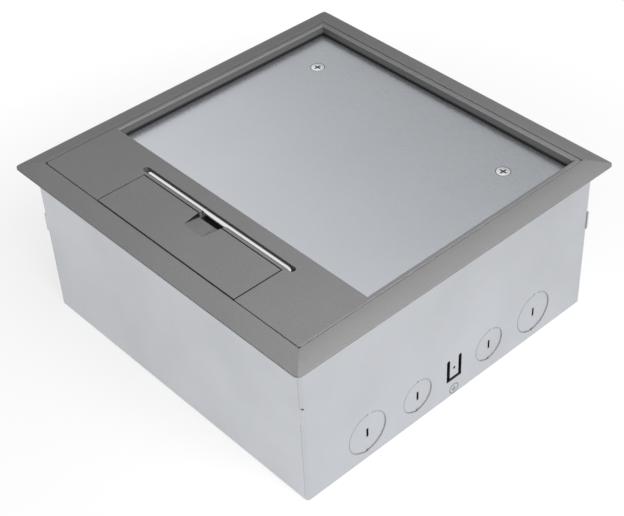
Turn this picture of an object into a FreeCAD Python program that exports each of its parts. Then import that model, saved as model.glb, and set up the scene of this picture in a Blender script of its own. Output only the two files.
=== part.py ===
import FreeCAD, Part
import math
import os

# Recessed floor socket box: folded steel back box, moulded trim frame, hinged lid with a
# recessed metal plate, cable outlet flap and pull-up handle, twin socket and data outlets.
# Millimetres. +Z is up, X runs along the hinge, -Y is the handle side.
# The origin is the centre of the underside of the box.

# ---- back box -----------------------------------------------------------------
BOX_X = 205.0             # outside, along the hinge
BOX_Y = 205.0             # outside, from handle side to hinge side
BOX_HEIGHT = 94.5
SHEET = 1.2
BEND = 1.8                # outside bend radius
CORNER_FLANGE = 10.0      # upright flange folded behind each plain wall
SEAM = 0.2                # open seam beside each upright bend
TONGUE_Z = 53.0           # corner locking tongue, lower end
TONGUE_HEIGHT = 11.0
TONGUE_PROUD = 0.35
KNOCKOUT_LARGE = 25.5     # conduit knockouts, diameters
KNOCKOUT_SMALL = 20.5
KNOCKOUT_Z = 18.3
KNOCKOUT_LARGE_Y = 61.8
KNOCKOUT_SMALL_Y = 26.6
KNOCKOUT_STEP = 0.3
PRY_SLOT_WIDTH = 1.4
PRY_SLOT_HEIGHT = 5.6
EARTH_TAB_WIDTH = 6.3     # push-on tab left in the wall by a U-shaped slot
EARTH_TAB_HOLE = 1.7
EARTH_TAB_TIP_Z = 14.2
EARTH_TAB_ROOT_Z = 26.0
EARTH_TAB_SLOT = 2.3
BASE_HOLE = 6.0           # fixing holes in the base
BASE_HOLE_SPACING = 150.0

# ---- trim frame ---------------------------------------------------------------
FLANGE_OVERHANG = 7.5
FLANGE_EDGE = 0.8
FLANGE_RISE = 3.5
FLANGE_CROWN = 0.45
FLANGE_CORNER = 3.0
FRAME_FIT = 0.3
SKIRT_WALL = 2.4
SKIRT_DEPTH = 17.0
LEDGE_WIDTH = 3.6
LEDGE_THICK = 3.0
LUG = 15.0
LUG_THICK = 3.0
LUG_SCREW_INSET = 7.5
FRAME_SCREW = 4.0
SCREW_PLAY = 0.2          # radial, where a screw passes through
BRACKET_THICK = 1.5
BRACKET_DROP = 16.0

# ---- lid ----------------------------------------------------------------------
LID_GAP = 0.6
LID_THICK = 10.0
LID_CORNER = 1.0          # bevel on the upright edges
EDGE_BREAK = 0.3          # on the top edges of lid and flap
REST_GAP = 0.3            # between pieces that close on each other
RIM = 3.0                 # rim round the recess
RIM_CHAMFER = 0.8
RECESS_DEPTH = 5.7        # from the lid top down to the plate
LID_PLATE_THICK = 1.5
PLATE_GAP = 0.7
PLATE_TUCK = 3.0
STRIP = 44.5              # handle side strip, front to back
SKIN = 2.8
RIB = 1.8
LID_SCREW = 4.0
LID_SCREW_HEAD = 7.6
LID_SCREW_LENGTH = 12.0
LID_SCREW_RECESS = 4.2
LID_SCREW_RECESS_DEEP = 1.2
LID_SCREW_X = 70.8
LID_SCREW_INSET = 26.7    # from the recess wall on the hinge side
HINGE_BACK = 5.0          # pin centre from the hinge side edge of the lid
HINGE_DEEP = 2.2          # pin centre below the lid top
HINGE_PIN = 2.4
HINGE_PIN_LENGTH = 7.5
RUN = 0.06                # radial running clearance of pins
STIFFENER_THICK = 1.5
STIFFENER_LIP = 7.5
STIFFENER_INSET = 12.0    # from the lid edge on the plain sides

# ---- cable outlet flap ---------------------------------------------------------
FLAP_WIDTH = 106.0
FLAP_DEPTH = 29.4
FLAP_THICK = 4.2
FLAP_GAP = 0.45
FLAP_HINGE_BACK = 4.5
FLAP_HINGE_DEEP = 2.1
FLAP_PIN = 2.0
FLAP_PIN_LENGTH = 8.0
FLAP_LEDGE = 2.0
SCOOP_DEPTH = 3.0
SCOOP_LENGTH = 11.0
SCOOP_FRONT = 14.0
SCOOP_BACK = 18.0

# ---- pull-up handle ------------------------------------------------------------
HANDLE_ROD = 3.0
HANDLE_SPAN = 110.0       # between leg centres
HANDLE_BEND = 4.0
HANDLE_TRAVEL = 22.0
HANDLE_SIDE = 0.3         # each side of the rod in its slot
HANDLE_SUNK = 0.3         # top of the rod below the lid top
SLOT_END = 1.5
LAND = 1.7                # between the flap and the handle slot
LEG_BOSS = 8.0
LEG_BOSS_DROP = 6.0
CLIP = 7.2
CLIP_THICK = 0.8

# ---- accessory plates and what carries them -------------------------------------
SEAT_DROP = 49.5          # from the box rim down to the underside of the accessory plates
PLATE_END = 6.6           # from the rail web to the end of an accessory plate
PLATE_SIDE = 1.4          # accessory plates stand out past the rail ends
ACCESSORY_THICK = 1.5
ACCESSORY_CORNER = 2.0
ACCESSORY_SPLIT = 6.0     # between the two plates
ACCESSORY_SCREW = 3.5
ACCESSORY_SCREW_LENGTH = 8.0
SCREW_EDGE = 4.5
RAIL_THICK = 1.5
RAIL_SHELF = 16.0
RAIL_FOOT = 12.0
RAIL_SIDE = 0.7
HOOK_WIDTH = 9.0          # rail hooks that hold the plates down on the hinge side
HOOK_THICK = 1.5
HOOK_GRIP = 3.0
HOOK_SPACING = 56.0
PARTITION_FOOT = 12.0
EARTH_STUD = 5.0
EARTH_STUD_HEIGHT = 16.0

# ---- twin socket ----------------------------------------------------------------
FRONT_LIP_END = 7.0       # front moulding past the housing, at the ends
FRONT_LIP_SIDE = 6.0      # and along the sides
FRONT_HEIGHT = 5.0
FRONT_SKIN = 2.6
FRONT_BEVEL = 1.5
FRONT_CORNER = 4.0
FRONT_WALL = 2.6
HOUSING_END = 4.3         # inside the housing, past the last pin slot
HOUSING_SIDE = 0.8        # inside the housing, past the rocker guard
HOUSING_DEPTH = 24.0
HOUSING_WALL = 2.0
TERMINAL = 9.0
WIRE_ENTRY = 5.0
SOCKET_PITCH = 86.0
PIN_SPACING = 22.2        # between line and neutral, and from them to earth
PIN_SLOT_LONG = 7.2
PIN_SLOT_SHORT = 4.6
EARTH_SLOT_LONG = 8.6
CONTACT_LEAF = 0.8
CONTACT_GAP = 4.0
CONTACT_WEB = 2.0
CONTACT_DROP = 4.0        # top of the contacts below the shutter
SHUTTER_THICK = 1.7
SHUTTER_LAP = 1.0         # shutter past the pin slots it covers
SHUTTER_HEAD = 3.0        # solid part of the head beside the slots
SHUTTER_TRAVEL = 5.0
SHUTTER_GUIDE = 1.2       # rib round three sides of the shutter head
ROCKER_PITCH = 20.0
ROCKER_LENGTH = 18.0
ROCKER_WIDTH = 9.0
ROCKER_GAP = 0.6
ROCKER_TILT = 5.0
ROCKER_PIVOT = 2.0
ROCKER_PROUD = 0.4        # ends above the socket front, middle at rest level
ROCKER_CREST = 0.6        # middle above the ends
ROCKER_FOOT = 0.9         # underside above the accessory plate
ROCKER_SHIFT = -12.0      # towards the earth side of the socket centre line

# ---- data outlets ---------------------------------------------------------------
MODULE_PITCH = 40.0
MODULE_COUNT = 4
MODULE_LENGTH = 37.0
MODULE_WIDTH = 22.5
MODULE_FACE = 3.0
MODULE_BEVEL = 0.8
MODULE_BODY_INSET = 1.5
MODULE_DEPTH = 17.0
JACK_WIDTH = 11.9
JACK_HEIGHT = 8.4
JACK_DEPTH = 12.0

# ---- fastener proportions, as shares of the thread diameter ------------------------
HEAD_HEIGHT_SHARE = 0.65
HEX_HEAD_SHARE = 1.75
NUT_HEIGHT_SHARE = 0.8
RECESS_ARM_SHARE = 0.22   # arm width of a cross recess, of its size

# ---- worked out from the sizes above ----------------------------------------------
TOP = BOX_HEIGHT + FLANGE_RISE
WALL_X = BOX_X / 2 - SHEET            # inside faces of the back box
WALL_Y = BOX_Y / 2 - SHEET
SKIRT_X = WALL_X - FRAME_FIT          # outside of the frame skirt
SKIRT_Y = WALL_Y - FRAME_FIT
OPEN_X = SKIRT_X - SKIRT_WALL         # lid opening in the frame
OPEN_Y = SKIRT_Y - SKIRT_WALL
FLANGE_X = BOX_X / 2 + FLANGE_OVERHANG
FLANGE_Y = BOX_Y / 2 + FLANGE_OVERHANG
SKIRT_BOTTOM = BOX_HEIGHT - SKIRT_DEPTH
LID_X = OPEN_X - LID_GAP
LID_Y = OPEN_Y - LID_GAP
LID_UNDER = TOP - LID_THICK
RECESS_X = LID_X - RIM
RECESS_BACK = LID_Y - RIM
RECESS_FRONT = -LID_Y + STRIP
PLATE_TOP = TOP - RECESS_DEPTH
RECESS_FLOOR = PLATE_TOP - LID_PLATE_THICK
LEDGE_TOP = LID_UNDER - REST_GAP
HINGE_Y = LID_Y - HINGE_BACK
HINGE_Z = TOP - HINGE_DEEP
LID_SCREW_Y = RECESS_BACK - LID_SCREW_INSET
FLAP_BACK = -LID_Y + FLAP_DEPTH
NOTCH_BACK = FLAP_BACK + FLAP_GAP
NOTCH_X = FLAP_WIDTH / 2 + FLAP_GAP
FLAP_UNDER = TOP - FLAP_THICK
FLAP_HINGE_Y = FLAP_BACK - FLAP_HINGE_BACK
FLAP_HINGE_Z = TOP - FLAP_HINGE_DEEP
SLOT_WIDTH = HANDLE_ROD + 2 * HANDLE_SIDE
SLOT_FRONT = NOTCH_BACK + LAND
HANDLE_Y = SLOT_FRONT + SLOT_WIDTH / 2
HANDLE_Z = TOP - HANDLE_SUNK - HANDLE_ROD / 2
SLOT_FLOOR = HANDLE_Z - HANDLE_ROD / 2 - REST_GAP
SLOT_DEEP = LID_UNDER + SKIN          # finger pocket and bend pockets
LEG_X = HANDLE_SPAN / 2
BOSS_BOTTOM = LID_UNDER - LEG_BOSS_DROP
CLIP_TOP = BOSS_BOTTOM - HANDLE_TRAVEL - REST_GAP
STIFFENER_X = LID_X - STIFFENER_INSET
STIFFENER_BACK = HINGE_Y - STIFFENER_INSET
STIFFENER_FRONT = HANDLE_Y + LEG_BOSS / 2 + 1.0
LUG_SCREW_X = OPEN_X - LUG_SCREW_INSET
LUG_SCREW_Y = OPEN_Y - LUG_SCREW_INSET
SEAT_Z = BOX_HEIGHT - SEAT_DROP
PLATE_FACE = SEAT_Z + ACCESSORY_THICK
FRONT_TOP = PLATE_FACE + FRONT_HEIGHT
RAIL_X = WALL_X - CORNER_FLANGE - RAIL_SIDE
RAIL_BACK = WALL_Y - RAIL_SIDE
PLATE_Y = RAIL_BACK - RAIL_THICK - PLATE_END    # end of both accessory plates
PLATE_SCREW_Y = -PLATE_Y + SCREW_EDGE
ACCESSORY_WIDTH = RAIL_X + PLATE_SIDE - ACCESSORY_SPLIT / 2
PLATE_X = ACCESSORY_WIDTH / 2 + ACCESSORY_SPLIT / 2
SOCKET_X = -PLATE_X
HOUSING_LENGTH = SOCKET_PITCH + PIN_SPACING + PIN_SLOT_LONG + 2 * (HOUSING_END + HOUSING_WALL)
ROCKER_REACH = abs(ROCKER_SHIFT) + ROCKER_LENGTH / 2 + ROCKER_GAP + FRONT_WALL
HOUSING_WIDTH = 2 * (ROCKER_REACH + HOUSING_SIDE + HOUSING_WALL)
FRONT_LENGTH = HOUSING_LENGTH + 2 * FRONT_LIP_END
FRONT_WIDTH = HOUSING_WIDTH + 2 * FRONT_LIP_SIDE
PIVOT_Z = FRONT_TOP - FRONT_HEIGHT / 2
SHUTTER_Z = FRONT_TOP - FRONT_SKIN - REST_GAP - SHUTTER_THICK


# ---- helpers ------------------------------------------------------------------------
def point(x, y, z):
    return FreeCAD.Vector(x, y, z)


AXIS_X = point(1, 0, 0)
AXIS_Y = point(0, 1, 0)
AXIS_Z = point(0, 0, 1)


def block(x0, x1, y0, y1, z0, z1):
    return Part.makeBox(x1 - x0, y1 - y0, z1 - z0, point(x0, y0, z0))


def centred(x, y, size_x, size_y, z0, z1):
    return block(x - size_x / 2, x + size_x / 2, y - size_y / 2, y + size_y / 2, z0, z1)


def disc(x, y, z0, z1, diameter):
    return Part.makeCylinder(diameter / 2, z1 - z0, point(x, y, z0))


def rod_x(x0, x1, y, z, diameter):
    return Part.makeCylinder(diameter / 2, x1 - x0, point(x0, y, z), AXIS_X)


def rod_y(y0, y1, x, z, diameter):
    return Part.makeCylinder(diameter / 2, y1 - y0, point(x, y0, z), AXIS_Y)


def upright_edges(shape):
    return [e for e in shape.Edges if abs(e.tangentAt(e.FirstParameter).z) > 0.99]


def rounded(shape, radius):
    """Round the upright edges of a block."""
    return shape.makeFillet(radius, upright_edges(shape))


def edges_at(shape, z):
    return [e for e in shape.Edges if all(abs(v.Z - z) < 1e-6 for v in e.Vertexes)]


def slot_z(x0, x1, y, width, z0, z1):
    """Straight slot along X with round ends, cut along Z."""
    middle = block(x0 + width / 2, x1 - width / 2, y - width / 2, y + width / 2, z0, z1)
    return middle.fuse([disc(x0 + width / 2, y, z0, z1, width),
                        disc(x1 - width / 2, y, z0, z1, width)])


def join(shapes):
    return shapes[0].fuse(shapes[1:]).removeSplitter()


def mirrored_x(shape):
    return shape.mirror(point(0, 0, 0), AXIS_X)


def mirrored_y(shape):
    return shape.mirror(point(0, 0, 0), AXIS_Y)


def both_x(shape):
    return [shape, mirrored_x(shape)]


def four_corners(shape):
    return both_x(shape) + both_x(mirrored_y(shape))


def prism(points, direction):
    return Part.Face(Part.makePolygon(points + points[:1])).extrude(direction)


def hexagon(x, y, z0, z1, across_flats):
    corner = across_flats / math.sqrt(3)
    points = [point(x + corner * math.cos(math.radians(60 * i)),
                    y + corner * math.sin(math.radians(60 * i)), z0) for i in range(6)]
    return prism(points, AXIS_Z * (z1 - z0))


def cross_recess(x, y, z, size, depth):
    arm = RECESS_ARM_SHARE * size
    return centred(x, y, size, arm, z - depth, z).fuse(centred(x, y, arm, size, z - depth, z))


def screw(x, y, seat_z, diameter, length):
    """Hexagon head screw standing on seat_z, pointing down."""
    head_top = seat_z + HEAD_HEIGHT_SHARE * diameter
    head = hexagon(x, y, seat_z, head_top, HEX_HEAD_SHARE * diameter)
    return head.fuse(disc(x, y, seat_z - length, seat_z, diameter))


def open_slot(x, y, end_y, diameter, z0, z1):
    """Slot with a round end at (x, y), open towards end_y."""
    low, high = sorted((y, end_y))
    return disc(x, y, z0, z1, diameter).fuse(
        block(x - diameter / 2, x + diameter / 2, low, high, z0, z1))


def save(name, solids):
    shape = Part.makeCompound(solids) if len(solids) > 1 else solids[0]
    shape.exportStep("parts/" + name + ".step")


# ---- back box -------------------------------------------------------------------------
def knockout_cut(y, diameter):
    """Half-sheared knockout disc, set back a little, with its pry slot, in the +X wall."""
    disc_cut = rod_x(BOX_X / 2 - KNOCKOUT_STEP, BOX_X / 2 + SHEET, y, KNOCKOUT_Z, diameter)
    pry = block(WALL_X - SHEET, WALL_X + 2 * SHEET, y - PRY_SLOT_WIDTH / 2,
                y + PRY_SLOT_WIDTH / 2, KNOCKOUT_Z - PRY_SLOT_HEIGHT / 2,
                KNOCKOUT_Z + PRY_SLOT_HEIGHT / 2)
    return disc_cut.fuse(pry)


def earth_tab_cut():
    """U-shaped slot that leaves a push-on earth tab in the +X wall."""
    x0 = WALL_X - SHEET
    x1 = x0 + 3 * SHEET
    half = EARTH_TAB_WIDTH / 2
    outer = half + EARTH_TAB_SLOT
    foot = EARTH_TAB_TIP_Z - EARTH_TAB_SLOT
    arm_top = EARTH_TAB_ROOT_Z
    cut = block(x0, x1, -outer, outer, foot, EARTH_TAB_TIP_Z)
    for side in (-1, 1):
        centre = side * (half + EARTH_TAB_SLOT / 2)
        arm = block(x0, x1, centre - EARTH_TAB_SLOT / 2, centre + EARTH_TAB_SLOT / 2,
                    foot, arm_top)
        cut = cut.fuse([arm, rod_x(x0, x1, centre, arm_top, EARTH_TAB_SLOT)])
    hole_z = (EARTH_TAB_TIP_Z + EARTH_TAB_ROOT_Z) / 2
    return cut.fuse(rod_x(x0, x1, 0, hole_z, EARTH_TAB_HOLE))


def folded_shell():
    """Open-topped shell with bend radii on its upright edges and its foot."""
    outer = rounded(block(-BOX_X / 2, BOX_X / 2, -BOX_Y / 2, BOX_Y / 2, 0, BOX_HEIGHT), BEND)
    outer = outer.makeChamfer(0.5 * BEND, edges_at(outer, 0))
    inner = block(-WALL_X, WALL_X, -WALL_Y, WALL_Y, SHEET, BOX_HEIGHT + SHEET)
    return outer.cut(inner)


def corner_details(shell):
    """Flanges behind the plain walls, open seams and corner tongues, one per corner."""
    flange_top = SKIRT_BOTTOM - BRACKET_THICK
    flange = block(WALL_X - CORNER_FLANGE, WALL_X, -WALL_Y, -WALL_Y + SHEET,
                   SHEET, flange_top)
    seam_x = BOX_X / 2 - BEND
    seam = block(seam_x - SEAM, seam_x, -BOX_Y / 2, -WALL_Y, BEND, BOX_HEIGHT)
    notch = block(seam_x - SEAM, BOX_X / 2, -BOX_Y / 2, -WALL_Y,
                  TONGUE_Z - SEAM, TONGUE_Z + TONGUE_HEIGHT + SEAM)
    tongue = block(seam_x - SEAM, BOX_X / 2 + TONGUE_PROUD, -BOX_Y / 2, -WALL_Y - SEAM,
                   TONGUE_Z, TONGUE_Z + TONGUE_HEIGHT)
    shell = shell.fuse(four_corners(flange))
    shell = shell.cut(four_corners(seam) + four_corners(notch))
    return shell.fuse(four_corners(tongue)).removeSplitter()


def back_box():
    shell = corner_details(folded_shell())
    cuts = [earth_tab_cut()]
    for y, diameter in ((KNOCKOUT_LARGE_Y, KNOCKOUT_LARGE), (KNOCKOUT_SMALL_Y, KNOCKOUT_SMALL)):
        cuts += four_corners(knockout_cut(y, diameter))
    half = BASE_HOLE_SPACING / 2
    cuts += four_corners(disc(half, half, -SHEET, 2 * SHEET, BASE_HOLE))
    return [shell.cut(cuts)]


def corner_brackets():
    """Shelf brackets that take the frame screws, welded to the walls."""
    inner_x = OPEN_X - LUG
    inner_y = OPEN_Y - LUG
    z1 = SKIRT_BOTTOM
    z0 = z1 - BRACKET_THICK
    shelf = block(inner_x, WALL_X, inner_y, WALL_Y, z0, z1)
    leg = block(WALL_X - BRACKET_THICK, WALL_X, inner_y, WALL_Y - SHEET - REST_GAP,
                z0 - BRACKET_DROP, z0)
    bracket = shelf.fuse(leg).removeSplitter()
    bracket = bracket.cut(centred(LUG_SCREW_X, LUG_SCREW_Y, FRAME_SCREW, FRAME_SCREW, z0, z1))
    return four_corners(bracket)


# ---- trim frame ---------------------------------------------------------------------------
def frame_side(open_near, open_far):
    """One mitred side of the frame, lying along Y at +X."""
    width = SKIRT_WALL + FRAME_FIT + SHEET + FLANGE_OVERHANG
    skirt = open_near + SKIRT_WALL
    edge = open_near + width
    shoulder = point(edge, 0, BOX_HEIGHT + FLANGE_EDGE)
    inner_top = point(open_near, 0, TOP)
    crest = (shoulder + inner_top) * 0.5 + point(0.2 * FLANGE_CROWN, 0, FLANGE_CROWN)
    corners = [inner_top, point(open_near, 0, SKIRT_BOTTOM), point(skirt, 0, SKIRT_BOTTOM),
               point(skirt, 0, BOX_HEIGHT), point(edge, 0, BOX_HEIGHT), shoulder]
    lines = [Part.LineSegment(a, b).toShape() for a, b in zip(corners, corners[1:])]
    crown = Part.Arc(shoulder, crest, inner_top).toShape()
    section = Part.Face(Part.Wire(lines + [crown]))
    reach = open_far + width
    side = section.extrude(AXIS_Y * (2 * reach))
    side.translate(point(0, -reach, 0))
    mitre = prism([point(open_near, -open_far, 0), point(edge, -reach, 0),
                   point(edge, reach, 0), point(open_near, open_far, 0)], AXIS_Z * (2 * TOP))
    return side.common(mitre)


def frame_ring():
    side_x = frame_side(OPEN_X, OPEN_Y)
    side_y = frame_side(OPEN_Y, OPEN_X).rotated(point(0, 0, 0), AXIS_Z, 90)
    ring = join([side_x, side_y, mirrored_x(side_x), mirrored_y(side_y)])
    outline = rounded(block(-FLANGE_X, FLANGE_X, -FLANGE_Y, FLANGE_Y, 0, 2 * TOP),
                      FLANGE_CORNER)
    return ring.common(outline)


def trim_frame():
    """Flange, skirt, lid ledges clear of the cable outlet, and corner lugs."""
    ledge_z = LEDGE_TOP - LEDGE_THICK
    side_end = HINGE_Y - LEDGE_WIDTH
    side_ledge = block(OPEN_X - LEDGE_WIDTH, OPEN_X, -OPEN_Y, side_end, ledge_z, LEDGE_TOP)
    front_ledge = block(NOTCH_X + LEDGE_WIDTH, OPEN_X, -OPEN_Y, -OPEN_Y + LEDGE_WIDTH,
                        ledge_z, LEDGE_TOP)
    lug = block(OPEN_X - LUG, OPEN_X, OPEN_Y - LUG, OPEN_Y,
                SKIRT_BOTTOM, SKIRT_BOTTOM + LUG_THICK)
    frame = join([frame_ring()] + both_x(side_ledge) + both_x(front_ledge)
                 + four_corners(lug))
    holes = four_corners(open_slot(LUG_SCREW_X, LUG_SCREW_Y, OPEN_Y - LUG,
                                   FRAME_SCREW + 2 * SCREW_PLAY,
                                   SKIRT_BOTTOM, SKIRT_BOTTOM + LUG_THICK))
    holes += both_x(rod_x(OPEN_X, hinge_pin_end(), HINGE_Y, HINGE_Z, HINGE_PIN))
    return [frame.cut(holes)]


def frame_screws():
    seat = SKIRT_BOTTOM + LUG_THICK
    length = LUG_THICK + BRACKET_THICK + 2 * FRAME_SCREW
    return four_corners(screw(LUG_SCREW_X, LUG_SCREW_Y, seat, FRAME_SCREW, length))


# ---- lid ------------------------------------------------------------------------------------
def hinge_pin_end():
    return LID_X - RIM + REST_GAP + HINGE_PIN_LENGTH


def hinge_pins():
    start = hinge_pin_end() - HINGE_PIN_LENGTH
    pin = rod_x(start, hinge_pin_end(), HINGE_Y, HINGE_Z, HINGE_PIN)
    return both_x(pin)


def lid_body():
    """Bevelled slab with the plate recess and the chamfer round it."""
    slab = block(-LID_X, LID_X, -LID_Y, LID_Y, LID_UNDER, TOP)
    slab = slab.makeChamfer(LID_CORNER, upright_edges(slab))
    slab = slab.makeChamfer(EDGE_BREAK, edges_at(slab, TOP))
    recess = block(-RECESS_X, RECESS_X, RECESS_FRONT, RECESS_BACK, RECESS_FLOOR, TOP + 1)
    mouth_z = TOP - RIM_CHAMFER
    mouth = prism([point(RECESS_X, 0, mouth_z), point(RECESS_X + 2 * RIM_CHAMFER, 0, TOP + RIM_CHAMFER),
                   point(-RECESS_X - 2 * RIM_CHAMFER, 0, TOP + RIM_CHAMFER),
                   point(-RECESS_X, 0, mouth_z)], AXIS_Y * (RECESS_BACK - RECESS_FRONT))
    mouth.translate(point(0, RECESS_FRONT, 0))
    back_cut = prism([point(-RECESS_X, RECESS_BACK, mouth_z),
                      point(-RECESS_X, RECESS_BACK + 2 * RIM_CHAMFER, TOP + RIM_CHAMFER),
                      point(-RECESS_X, RECESS_BACK, TOP + RIM_CHAMFER)],
                     AXIS_X * (2 * RECESS_X))
    tuck = block(-RECESS_X, RECESS_X, RECESS_FRONT - PLATE_TUCK - REST_GAP, RECESS_FRONT,
                 RECESS_FLOOR, PLATE_TOP + REST_GAP)
    return slab.cut([recess, mouth, back_cut, tuck])


def strip_hollows():
    """Underside pockets of the strip ends, parted by ribs."""
    x0 = LEG_X + LEG_BOSS / 2 + SKIN
    x1 = LID_X - SKIN
    y0 = -LID_Y + SKIN
    y1 = RECESS_FRONT - PLATE_TUCK - REST_GAP - SKIN
    pocket = block(x0, x1, y0, y1, LID_UNDER, TOP - SKIN)
    middle_x = (x0 + x1) / 2
    middle_y = (y0 + y1) / 2
    pocket = pocket.cut([block(middle_x - RIB / 2, middle_x + RIB / 2, y0, y1, 0, TOP),
                         block(x0, x1, middle_y - RIB / 2, middle_y + RIB / 2, 0, TOP)])
    return both_x(pocket)


def handle_slot():
    """Groove for the rod, deeper at the bends, with guide holes for the legs."""
    end = LEG_X + HANDLE_ROD / 2 + SLOT_END
    bend_start = LEG_X - HANDLE_BEND - HANDLE_ROD / 2
    groove = slot_z(-end, end, HANDLE_Y, SLOT_WIDTH, SLOT_FLOOR, TOP + 1)
    deep_end = block(bend_start, LEG_X, HANDLE_Y - SLOT_WIDTH / 2, HANDLE_Y + SLOT_WIDTH / 2,
                     SLOT_DEEP, TOP)
    guide = disc(LEG_X, HANDLE_Y, BOSS_BOTTOM, TOP, HANDLE_ROD + 2 * RUN)
    pocket = block(-SCOOP_BACK / 2, SCOOP_BACK / 2, NOTCH_BACK, SLOT_FRONT + SLOT_WIDTH,
                   SLOT_DEEP, TOP + 1)
    return [groove, pocket] + both_x(deep_end) + both_x(guide)


def flap_notch():
    """Opening for the flap, with a ledge at each side for it to close on."""
    notch = block(-NOTCH_X, NOTCH_X, -LID_Y - 1, NOTCH_BACK, LID_UNDER - 1, TOP + 1)
    ledge_back = FLAP_HINGE_Y - FLAP_PIN - FLAP_LEDGE
    ledge = block(NOTCH_X - FLAP_LEDGE, NOTCH_X, -LID_Y, ledge_back,
                  LID_UNDER, FLAP_UNDER - REST_GAP)
    return notch.cut(both_x(ledge))


def countersink(extra):
    """Cone of the lid screw head at +X, grown by a clearance."""
    radius = LID_SCREW_HEAD / 2 + extra
    depth = radius - LID_SCREW / 2
    return Part.makeCone(LID_SCREW / 2, radius, depth,
                         point(LID_SCREW_X, LID_SCREW_Y, PLATE_TOP - depth))


def lid_moulding():
    body = lid_body().cut([flap_notch()])
    bosses = both_x(centred(LEG_X, HANDLE_Y, LEG_BOSS, LEG_BOSS, BOSS_BOTTOM, LID_UNDER + SKIN))
    body = body.fuse(bosses)
    cuts = strip_hollows() + handle_slot()
    screw_bore = LID_SCREW_HEAD - 2 * LID_PLATE_THICK + 4 * RUN
    cuts += both_x(disc(LID_SCREW_X, LID_SCREW_Y, LID_UNDER, PLATE_TOP, screw_bore))
    pin_start = hinge_pin_end() - HINGE_PIN_LENGTH - RUN
    cuts += both_x(rod_x(pin_start, LID_X, HINGE_Y, HINGE_Z, HINGE_PIN + 2 * RUN))
    cuts += both_x(rod_x(NOTCH_X, flap_pin_end() + RUN, FLAP_HINGE_Y, FLAP_HINGE_Z,
                         FLAP_PIN + 2 * RUN))
    return [body.cut(cuts).removeSplitter()]


def lid_plate():
    """Metal plate in the recess, tucked under the strip and held by two screws."""
    half_x = RECESS_X - PLATE_GAP
    back = RECESS_BACK - PLATE_GAP
    plate = block(-half_x, half_x, RECESS_FRONT - PLATE_TUCK, back, RECESS_FLOOR, PLATE_TOP)
    return [plate.cut(both_x(countersink(RUN)))]


def lid_screws():
    head = countersink(0)
    shank = disc(LID_SCREW_X, LID_SCREW_Y, PLATE_TOP - LID_SCREW_LENGTH, head.BoundBox.ZMin,
                 LID_SCREW)
    recess = cross_recess(LID_SCREW_X, LID_SCREW_Y, PLATE_TOP, LID_SCREW_RECESS,
                          LID_SCREW_RECESS_DEEP)
    return both_x(head.fuse(shank).cut(recess))


def lid_nuts():
    z1 = LID_UNDER - STIFFENER_THICK
    nut = hexagon(LID_SCREW_X, LID_SCREW_Y, z1 - NUT_HEIGHT_SHARE * LID_SCREW, z1,
                  HEX_HEAD_SHARE * LID_SCREW)
    return both_x(nut.cut(disc(LID_SCREW_X, LID_SCREW_Y, z1 - LID_SCREW, z1, LID_SCREW)))


def lid_stiffener():
    """Folded steel tray under the lid that carries foot loads."""
    size = (-STIFFENER_X, STIFFENER_X, STIFFENER_FRONT, STIFFENER_BACK)
    tray = block(*size, LID_UNDER - STIFFENER_LIP, LID_UNDER)
    inner = block(size[0] + STIFFENER_THICK, size[1] - STIFFENER_THICK,
                  size[2] + STIFFENER_THICK, size[3] - STIFFENER_THICK,
                  LID_UNDER - STIFFENER_LIP, LID_UNDER - STIFFENER_THICK)
    holes = both_x(disc(LID_SCREW_X, LID_SCREW_Y, 0, TOP, LID_SCREW + 2 * RUN))
    return [tray.cut([inner] + holes)]


# ---- cable outlet flap -----------------------------------------------------------------------
def flap_pin_end():
    return FLAP_WIDTH / 2 + FLAP_PIN_LENGTH / 2


def scoop_cut():
    """Ramp that sinks towards the handle and widens on the way."""
    front = FLAP_BACK - SCOOP_LENGTH
    half_front = SCOOP_FRONT / 2
    half_back = SCOOP_BACK / 2
    back = FLAP_BACK + 1
    outline = prism([point(-half_front, front, 0), point(half_front, front, 0),
                     point(half_back, back, 0), point(-half_back, back, 0)],
                    AXIS_Z * (2 * TOP))
    slope = SCOOP_DEPTH / SCOOP_LENGTH
    wedge = prism([point(-half_back, front, TOP),
                   point(-half_back, back, TOP - slope * (SCOOP_LENGTH + 1)),
                   point(-half_back, back, TOP + 1),
                   point(-half_back, front, TOP + 1)], AXIS_X * SCOOP_BACK)
    return outline.common(wedge)


def outlet_flap():
    half = FLAP_WIDTH / 2
    flap = block(-half, half, -LID_Y, FLAP_BACK, FLAP_UNDER, TOP)
    flap = flap.makeChamfer(EDGE_BREAK, edges_at(flap, TOP))
    rim = 2 * RIB
    pocket_top = TOP - SKIN
    pocket_y1 = FLAP_HINGE_Y - FLAP_PIN
    inner = SCOOP_BACK / 2 + RIB
    pocket = block(inner, half - rim, -LID_Y + rim, pocket_y1, FLAP_UNDER, pocket_top)
    pins = both_x(rod_x(flap_pin_end() - FLAP_PIN_LENGTH, half, FLAP_HINGE_Y, FLAP_HINGE_Z,
                        FLAP_PIN))
    return [flap.cut([scoop_cut()] + both_x(pocket) + pins).removeSplitter()]


def flap_pins():
    end = flap_pin_end()
    return both_x(rod_x(end - FLAP_PIN_LENGTH, end, FLAP_HINGE_Y, FLAP_HINGE_Z, FLAP_PIN))


# ---- pull-up handle ----------------------------------------------------------------------------
def lift_handle():
    """Bent rod: one bar and two legs that slide in the lid, with mitred bends."""
    leg_end = CLIP_TOP - CLIP_THICK - HANDLE_ROD / 2
    bend = HANDLE_BEND
    right = [point(LEG_X - bend, HANDLE_Y, HANDLE_Z), point(LEG_X, HANDLE_Y, HANDLE_Z - bend),
             point(LEG_X, HANDLE_Y, leg_end)]
    left = [point(-p.x, p.y, p.z) for p in reversed(right)]
    path = Part.makePolygon(left + right)
    section = Part.Wire(Part.makeCircle(HANDLE_ROD / 2, left[0], AXIS_Z))
    return [path.makePipeShell([section], True, True, 1)]


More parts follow.
